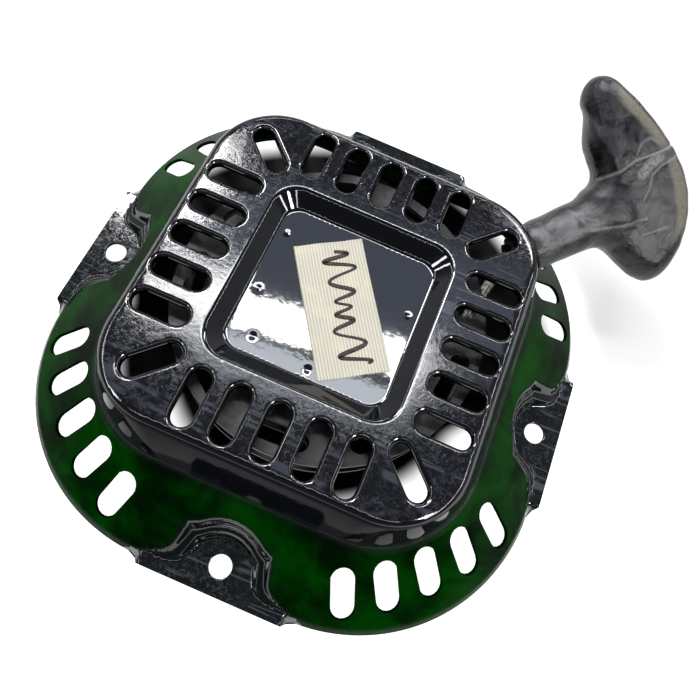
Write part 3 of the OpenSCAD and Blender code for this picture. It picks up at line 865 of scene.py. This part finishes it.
def rubber():
    g = Graph("moulded_rubber", specular=0.4)
    wear, crease_highlight, torn = (g.node("ShaderNodeAttribute", attribute_name=n).outputs["Fac"]
                          for n in ("wear", "crease_highlight", "torn"))
    cloud, grain = g.noise(0.11, 5, 0.62, bend=1.2), g.noise(1.1, 5, 0.7)
    base = g.mix(g.ramp(cloud, 0.32, 0.68), (0.0012, 0.0013, 0.002), (0.024, 0.025, 0.029))
    base = g.mix(g.times(g.ramp(grain, 0.55, 0.75), g.ramp(cloud, 0.45, 0.7), 0.8), base, (0.17, 0.17, 0.175))
    dents = g.ramp(g.noise(0.5, 2, 0.5, g.scaled(g.place, (1, 1, 1.6))), 0.33, 0.27)
    base = g.mix(g.times(dents, 0.8), base, (0.006, 0.006, 0.007))
    tan = g.times(wear, g.ramp(grain, 0.34, 0.6, 0.55, 1.0))
    base = g.mix(g.times(tan, 0.85), base, (0.17, 0.155, 0.115))
    base = g.mix(g.times(torn, g.ramp(grain, 0.4, 0.6, 0.3, 0.8)), base, (0.22, 0.225, 0.22))
    # Painted highlights: pale lines along the creases.
    base = g.mix(g.times(crease_highlight, 0.75), base, (0.24, 0.24, 0.24))
    # Painted highlight along the top of the stem, mottled by the cloud noise.
    stem = g.node("ShaderNodeAttribute", attribute_name="stem").outputs["Fac"]
    base = g.mix(g.times(stem, g.ramp(cloud, 0.35, 0.6, 0.25, 0.8)), base, (0.155, 0.155, 0.16))
    rough = g.math("ADD", g.ramp(cloud, 0.3, 0.7, 0.12, 0.34), g.times(tan, 0.3))
    g.bump(grain, 0.3, 0.0006)
    g.bump(cloud, 0.35, 0.0012)
    return g.look(base, rough)


def braided(name="braided_rope", tint=(0.70, 0.66, 0.56)):
    g = Graph(name, rough=0.78, specular=0.3)
    g.shader.inputs["Sheen Weight"].default_value = 0.25
    u, v = g.parts(g.uv)[0:2]
    one = g.math("SINE", g.times(g.math("ADD", u, g.times(v, 4.0)), 2 * math.pi))
    two = g.math("SINE", g.times(g.math("SUBTRACT", u, g.times(v, 4.0)), 2 * math.pi))
    weave = g.times(one, two)
    dirt = g.noise(0.35, 5, 0.65)
    helix = g.times(g.math("ADD", g.times(u, 0.5), g.times(v, 2.0)), 2 * math.pi)
    fleck = g.ramp(g.math("SINE", helix), 0.86, 0.95)
    # Darker where the weave is low, in the braid's grooves: painted shade.
    base = g.mix(g.ramp(weave, -0.7, 0.3), tuple(0.35 * c for c in tint), tint)
    base = g.mix(g.times(fleck, 0.85), base, (0.05, 0.07, 0.22))
    base = g.mix(g.times(g.ramp(dirt, 0.5, 0.75), 0.5), base, (0.14, 0.12, 0.09))
    g.bump(weave, 0.7, 0.0005)
    g.bump(g.noise(4.0, 2), 0.25, 0.0002)
    return g.look(base)


def steel(name, tint, rough=0.3, dirt=0.35, turned=False):
    g = Graph(name, metal=1.0)
    stretch = (0.15, 6, 6) if not turned else (0.5, 0.5, 9)
    grain = g.noise(1.2, 4, 0.6, g.scaled(g.place, stretch))
    patch = g.noise(0.16, 5, 0.6, bend=0.8)
    spots = g.ramp(g.noise(0.9, 3, 0.7), 0.6, 0.72)
    base = g.mix(g.ramp(grain, 0.3, 0.7), tuple(0.72 * c for c in tint), tint)
    base = g.mix(g.times(g.ramp(patch, 0.5, 0.75), dirt), base, (0.11, 0.085, 0.06))
    stain = g.times(spots, dirt)
    g.bump(grain, 0.12, 0.0002)
    dull = g.math("ADD", g.ramp(patch, 0.3, 0.7, rough - 0.08, rough + 0.14), g.times(stain, 0.2))
    return g.look(base, dull, g.ramp(stain, 0.0, 1.0, 1.0, 0.55))


def moulded(name, tint, rough=0.45, dust=0.25, dusty=(0.30, 0.28, 0.24)):
    g = Graph(name, specular=0.45)
    grain, patch = g.noise(2.2, 3, 0.6), g.noise(0.09, 5, 0.6, bend=0.5)
    fibre = g.noise(1.5, 2, 0.5, g.scaled(g.place, (0.3, 2.5, 1)))
    base = g.mix(g.ramp(fibre, 0.4, 0.65), tuple(0.8 * c for c in tint), tuple(min(1, 1.2 * c) for c in tint))
    base = g.mix(g.times(g.ramp(patch, 0.5, 0.78), dust), base, dusty)
    g.bump(grain, 0.18, 0.0002)
    return g.look(base, g.ramp(patch, 0.3, 0.7, rough - 0.08, rough + 0.12))


def paper():
    g = Graph("ribbed_paper_tape", rough=0.86, specular=0.2)
    across = g.parts(g.scaled(g.place, (1, 1, 1), (0, 0, math.radians(-33.2))))[0]
    rib = g.math("SINE", g.times(across, 2 * math.pi / 1.05))
    dots = g.noise(2.6, 3, 0.7, g.scaled(g.place, (1.8, 0.6, 1), (0, 0, math.radians(-33.2))))
    # The rib valleys are darker, painted shade, and the dark specks lie only in those valleys.
    base = g.mix(g.ramp(rib, -1, 0.4), (0.36, 0.34, 0.275), (0.48, 0.46, 0.395))
    base = g.mix(g.times(g.ramp(dots, 0.5, 0.72), g.ramp(rib, 0.2, -0.7), 0.6), base, (0.36, 0.34, 0.26))
    base = g.mix(g.times(g.ramp(g.noise(0.12, 4), 0.48, 0.7), 0.3), base, (0.62, 0.56, 0.38))
    g.bump(rib, 0.35, 0.0003)
    g.bump(dots, 0.3, 0.0002)
    return g.look(base)


def marker():
    g = Graph("marker_ink", rough=0.6, specular=0.3)
    grain = g.noise(1.8, 4, 0.7)
    return g.look(g.mix(g.ramp(grain, 0.4, 0.7), (0.018, 0.010, 0.009), (0.075, 0.05, 0.045)))


def painted_floor():
    """Floor, not plain: a painted shadow, dark and unlit, under the part, so that the slots show dark,
    and pale and glowing further out, a painted light. It is clear from below, so that a view from there shows
    the part."""
    g = Graph("floor_with_painted_shadow_and_glow", rough=0.8, specular=0.1)
    g.shader.inputs["Emission Color"].default_value = (1, 1, 1, 1)
    away = g.node("ShaderNodeVectorMath", operation="LENGTH")
    g.set(away.inputs[0], g.place)
    # Radius of the painted shadow: 56 mm at the front, 90 mm at the back, and further out on the left towards
    # the front
    left = g.times(g.ramp(g.axis[0], -40, -52, 0, 18), g.ramp(g.axis[1], 10, -10))
    painted_shadow_reach = g.math("ADD", g.ramp(g.axis[1], -15, 25, 56, 90), left)
    lit = g.ramp(g.math("SUBTRACT", away.outputs["Value"], painted_shadow_reach), 0, 10)
    glow = g.ramp(away.outputs["Value"], 104, 122, 1.1, 0.36)
    # Painted light: the floor glows outside the painted shadow, 1.1 out to 104 mm and 0.36 beyond 122 mm
    g.set(g.shader.inputs["Emission Strength"], g.times(lit, glow))
    made = g.look(g.mix(lit, (0.01, 0.01, 0.01), (0.45, 0.45, 0.45)))
    nodes, links = made.node_tree.nodes, made.node_tree.links
    output = next(n for n in nodes if n.type == "OUTPUT_MATERIAL")
    clear, choose = nodes.new("ShaderNodeBsdfTransparent"), nodes.new("ShaderNodeMixShader")
    links.new(nodes.new("ShaderNodeNewGeometry").outputs["Backfacing"], choose.inputs[0])
    links.new(g.shader.outputs[0], choose.inputs[1])
    links.new(clear.outputs[0], choose.inputs[2])
    links.new(choose.outputs[0], output.inputs[0])
    return made


# ---------------------------------------------------------------- pieces

def give(piece, material):
    piece.data.materials.clear()
    piece.data.materials.append(material)


def stand(piece, body, material, slot_name, *nodes):
    give(piece, material)
    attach(piece, body)
    if nodes:
        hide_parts(*nodes)


ENAMEL, RUBBER, ROPE = enamel("enamel_gloss", 0.8), rubber(), braided()
ENAMEL_LOW = enamel("enamel_dull", 0.02)
housing = housing_mesh()
stand(housing, "housing_body", ENAMEL, "enamel", "housing")
housing.data.materials.append(ENAMEL_LOW)


def paint_housing(mesh):
    """Dull enamel from the wall outwards, except in the ears' pockets, and black paint inside those, kept
    free of the painted green reflection.
    """
    x, y = (np.array([tuple(face.center) for face in mesh.polygons]) / MM).T[:2]
    in_ear = (np.maximum(abs(x), abs(y)) > EARS_FROM) & (pocket_distance(x, y) < POCKET_BORDER)
    dull = (station(x, y) > WALL_FROM) & ~in_ear
    mesh.polygons.foreach_set("material_index", dull.astype(np.int32))
    x, y = (np.array([tuple(v.co) for v in mesh.vertices]) / MM).T[:2]
    # Share of each point that stays black, without the painted green reflection
    black = 1 - ease((pocket_distance(x, y) - POCKET_BORDER + 0.6) / 1.6)
    black *= ease((np.maximum(abs(x), abs(y)) - EARS_FROM + 1) / 2)
    mesh.attributes.new("pocket", "FLOAT", "POINT").data.foreach_set("value", black.astype(np.float32))


paint_housing(housing.data)
stand(grip_mesh(), "handle_body", RUBBER, "rubber", "handle_grip")

# Rope wound on the reel: six turns, two across the groove, the last one leaving towards the eyelet
TURNS = [(39.3, 31.3), (39.1, 26.8), (35.1, 26.8), (35.1, 31.3), (31.1, 31.3), (31.1, 26.8), (31.1, 26.8)]
RUN_START_ANGLE = -12.1
wound = []
for turn_index in range(6):
    (r0, z0), (r1, z1) = TURNS[turn_index], TURNS[turn_index + 1]
    for k in range(120):
        t = k / 120
        share = float(ease((t - 0.84) / 0.16))
        angle = math.radians(RUN_START_ANGLE - 360 * t)
        r, zz = r0 + (r1 - r0) * share, z0 + (z1 - z0) * share
        wound.append((r * math.cos(angle), r * math.sin(angle), zz))
wound, _ = smooth_points(wound, 1500)
stand(tube("rope_coil_braid", wound, 1.98, sides=16, relief=0.045), "reel_body", ROPE, "rope", "rope_coil")

RUN_START, RUN_END = (38.6, -8.3, 31.3), (51.5, 51.5, 26.4)
run, _ = smooth_points([RUN_START, RUN_END], 150)
stand(tube("rope_run_braid", run, 1.9, sides=24, relief=0.045), "housing_body", ROPE, "rope", "rope_run")

# Rope from the eyelet into the grip. The braid map of the part inside the stem at rest is spaced for the full
# pull
PULL = 1000.0
STRETCH_FROM, STRETCH_TO = -1.0, 8.0
a_stops = np.concatenate([np.arange(-9.4, STRETCH_FROM, 0.5), np.linspace(STRETCH_FROM, STRETCH_TO, 160),
                          np.arange(STRETCH_TO + 0.5, KNOT_FLOOR + 0.3, 0.5)])
paid_out = a_stops + PULL * ease((a_stops - STRETCH_FROM) / (STRETCH_TO - STRETCH_FROM))
rope_out = tube("rope_out", from_outlet(np.stack([a_stops, 0 * a_stops, 0 * a_stops], 1)), 2.05,
                sides=24, along=paid_out)
give(rope_out, ROPE)
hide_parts("rope_lead")
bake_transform(rope_out)


def knot_path(size, flat, count=220):
    t = np.linspace(0, 2 * math.pi, count, endpoint=False)
    return np.stack([-np.sin(3 * t) * flat, (np.sin(t) + 2 * np.sin(2 * t)) * size,
                     (np.cos(t) - 2 * np.cos(2 * t)) * size], 1)


knot = knot_path(1.22, 1.5)[4:-4] + [KNOT_FLOOR + 3.9, 0, 0]
stand(tube("handle_knot_rope", from_outlet(knot), 1.95, sides=18, relief=0.04), "handle_body", ROPE, "rope",
      "handle_knot")
knot_box_low, knot_box_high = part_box("reel_knot")
knot_middle = (np.array(knot_box_low) + np.array(knot_box_high)) / 2 / MM
small = knot_path(0.72, 1.3)[4:-4] + knot_middle
stand(tube("reel_knot_rope", small, 1.3, sides=16, relief=0.04), "reel_body", ROPE, "rope", "reel_knot")

# Tape label: a thin sheet with slightly uneven cut ends, lying on the recess floor
LABEL_AT, LABEL_TURN, LABEL_SIZE = (2.8, -0.2), 33.2, (24.0, 49.0)
RECESS_Z = 39.0


def on_label(x, y, z):
    c, s = math.cos(math.radians(LABEL_TURN)), math.sin(math.radians(LABEL_TURN))
    return LABEL_AT[0] + x * c - y * s, LABEL_AT[1] + x * s + y * c, RECESS_Z + z


def label_piece():
    across, along = 49, 99
    verts, faces = [], []
    for side in (0, 1):
        for j in range(along):
            for i in range(across):
                u, v = i / (across - 1) - 0.5, j / (along - 1) - 0.5
                x = u * LABEL_SIZE[0] - 0.12 * math.sin(9 * v) * abs(u)
                y = v * (LABEL_SIZE[1] - 0.5 - 0.2 * math.sin(11 * u))
                lift = 0.16 + 0.05 * math.sin(2 * math.pi * x / 1.05) + 0.35 * max(0, (u + v) - 0.93) * 6
                verts.append((x, y, lift if side else 0.02))
    n = across * along
    for j in range(along - 1):
        for i in range(across - 1):
            a = j * across + i
            faces.append((a, a + across, a + across + 1, a + 1))
            faces.append((n + a, n + a + 1, n + a + across + 1, n + a + across))
    rim = ([i for i in range(across)] + [j * across + across - 1 for j in range(1, along)]
           + [(along - 1) * across + i for i in range(across - 2, -1, -1)]
           + [j * across for j in range(along - 2, 0, -1)])
    for a, b in zip(rim, rim[1:] + rim[:1]):
        faces.append((a, b, n + b, n + a))
    return new_mesh("tape_label_sheet", [on_label(*v) for v in verts], faces)


stand(label_piece(), "housing_body", paper(), "paper", "tape_label")


def scribble():
    """One wavy marker stroke along the label."""
    verts, faces = [], []
    t = np.linspace(0, 1, 260)
    v = 20.5 * (1 - 2 * t)
    swing = 3.9 + 1.3 * np.sin(9 * t)
    u = 1.5 + swing * np.sin(2 * math.pi * 6.5 * t + 1.4 * np.sin(12 * t)) + 1.2 * np.sin(7 * t)
    along = np.stack([u, v], 1)
    run = np.gradient(along, axis=0)
    across = np.stack([-run[:, 1], run[:, 0]], 1) / np.linalg.norm(run, axis=1, keepdims=True)
    wide = 0.62 + 0.16 * np.sin(23 * t)
    for k in range(len(t)):
        for side in (-1, 1):
            x, y = along[k] + across[k] * side * wide[k]
            verts += [on_label(x, y, 0.235), on_label(x, y, 0.20)]
    for k in range(len(t) - 1):
        a, b = 4 * k, 4 * k + 4
        faces += [(a, b, b + 2, a + 2), (a + 1, a + 3, b + 3, b + 1)]
        faces += [(a, a + 1, b + 1, b), (a + 2, b + 2, b + 3, a + 3)]
    e = 4 * (len(t) - 1)
    faces += [(0, 2, 3, 1), (e, e + 1, e + 3, e + 2)]
    return new_mesh("label_scribble", verts, faces)


stand(scribble(), "housing_body", marker(), "paper")

# CAD nodes that keep their shape
LOOKS = {
    "post_plate": steel("pressed_steel", (0.34, 0.34, 0.35), 0.38, 0.45),
    "centre_post": steel("turned_steel", (0.60, 0.60, 0.62), 0.24, 0.2, True),
    "centre_bolt": steel("yellow_zinc_plate", (0.66, 0.50, 0.20), 0.28, 0.2),
    "rope_eyelet": steel("plated_eyelet", (0.66, 0.66, 0.68), 0.2, 0.12, True),
    "reel": moulded("glass_filled_nylon", (0.022, 0.022, 0.025), 0.42, 0.3),
    "reel_bush": steel("sintered_bronze", (0.55, 0.36, 0.18), 0.4, 0.3, True),
    "recoil_spring": steel("blued_spring_strip", (0.16, 0.19, 0.25), 0.3, 0.3),
    "pawl_1": steel("hardened_steel", (0.30, 0.30, 0.31), 0.36, 0.4),
    "ratchet_guide": moulded("natural_nylon", (0.50, 0.49, 0.43), 0.5, 0.25, (0.12, 0.10, 0.07)),
    "handle_core": moulded("core_tube", (0.16, 0.16, 0.165), 0.5, 0.3),
}
LOOKS["spring_cover"] = LOOKS["eyelet_clip"] = LOOKS["post_plate"]
LOOKS["retaining_washer"] = LOOKS["thrust_washer"] = LOOKS["handle_washer"] = LOOKS["centre_post"]
LOOKS["pawl_pin_1"] = LOOKS["pawl_pin_2"] = LOOKS["centre_post"]
LOOKS["friction_clip"] = LOOKS["recoil_spring"]
LOOKS["pawl_2"] = LOOKS["pawl_1"]
for node_name, material in LOOKS.items():
    for slot_ in bpy.data.objects[node_name].material_slots:
        slot_.material = material

# ---------------------------------------------------------------- floor and lights

floor_mesh = bpy.data.meshes.new("floor")
FLOOR_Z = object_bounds()[0][2] - 0.0002
floor_corners = [(x, y, FLOOR_Z) for x, y in ((-3, -3), (3, -3), (3, 3), (-3, 3))]
floor_mesh.from_pydata(floor_corners, [], [(0, 1, 2, 3)])
floor = bpy.data.objects.new("floor", floor_mesh)
bpy.context.collection.objects.link(floor)
floor_mesh.materials.append(painted_floor())


def panel(name, place, target, size, power, colour=(1, 1, 1)):
    data = bpy.data.lights.new(name, "AREA")
    data.shape = "RECTANGLE"
    data.size, data.size_y = size
    data.energy = power
    data.color = colour
    light = bpy.data.objects.new(name, data)
    back = (Vector(place) - Vector(target)).normalized()
    right = Vector((0, 1, 0)).cross(back).normalized() if abs(back.y) < 0.99 else Vector((1, 0, 0))
    light.matrix_world = Matrix.Translation(Vector(place)) @ Matrix(
        (right, back.cross(right), back)).transposed().to_4x4()
    bpy.context.collection.objects.link(light)
    return light


# A strip lamp whose reflection crosses the recess floor, a grey panel before it and a dim blue one behind it
strip = panel("strip_lamp", (-0.17, 0.356, 1.04), (-0.17, 0.356, 0), (0.62, 0.085), 4.4)
strip.rotation_euler = (0, 0, math.radians(6.4))
ceiling = panel("grey_panel", (-0.09, 0.272, 1.045), (-0.09, 0.272, 0), (0.46, 0.062), 0.75,
                (0.84, 0.90, 1.0))
ceiling.rotation_euler = (0, 0, math.radians(4))
dim = panel("blue_panel", (-0.1, 0.53, 1.06), (-0.1, 0.53, 0), (0.9, 0.30), 0.8, (0.66, 0.76, 1.0))
dim.rotation_euler = (0, 0, math.radians(5))
panel("back_left", (-0.50, 0.50, 0.85), (0, 0, 0.02), (0.20, 0.20), 6.5)
panel("front_right", (0.70, -0.38, 0.72), (0, 0, 0.02), (0.16, 0.16), 4.6)
panel("back_right", (0.40, 0.78, 0.78), (0, 0, 0.02), (0.4, 0.07), 3.2)
panel("front_left", (-0.75, -0.55, 0.75), (0, 0, 0.02), (0.18, 0.18), 1.6)
for side in (-1, 1):
    panel("side_strip", (0.85 * side, 0.1, 0.62), (0, 0.1, 0.03), (0.04, 1.3), 2.8)
    panel("end_strip", (0, 0.1 + 0.9 * side, 0.80 - 0.2 * side), (0, 0.1, 0.03), (1.3, 0.035),
          2.2 + 0.6 * side)

world = bpy.data.worlds.new("studio")
bpy.context.scene.world = world
world.use_nodes = True
sky = world.node_tree


def sky_step(socket, low, high, a, b):
    made = sky.nodes.new("ShaderNodeMapRange")
    made.interpolation_type = "SMOOTHSTEP"
    for k, v in enumerate((low, high, a, b)):
        made.inputs[k + 1].default_value = v
    sky.links.new(socket, made.inputs[0])
    return made.outputs[0]


coords = sky.nodes.new("ShaderNodeTexCoord")
split = sky.nodes.new("ShaderNodeSeparateXYZ")
sky.links.new(coords.outputs["Generated"], split.inputs[0])
product = sky.nodes.new("ShaderNodeMath")
product.operation = "MULTIPLY"
sky.links.new(sky_step(split.outputs[2], 0.05, 0.55, 0.42, 0.10), product.inputs[0])
sky.links.new(sky_step(split.outputs[1], -0.5, 0.4, 0.35, 1.0), product.inputs[1])
sky.nodes["Background"].inputs["Color"].default_value = (0.93, 0.96, 1.0, 1)
sky.links.new(product.outputs[0], sky.nodes["Background"].inputs["Strength"])
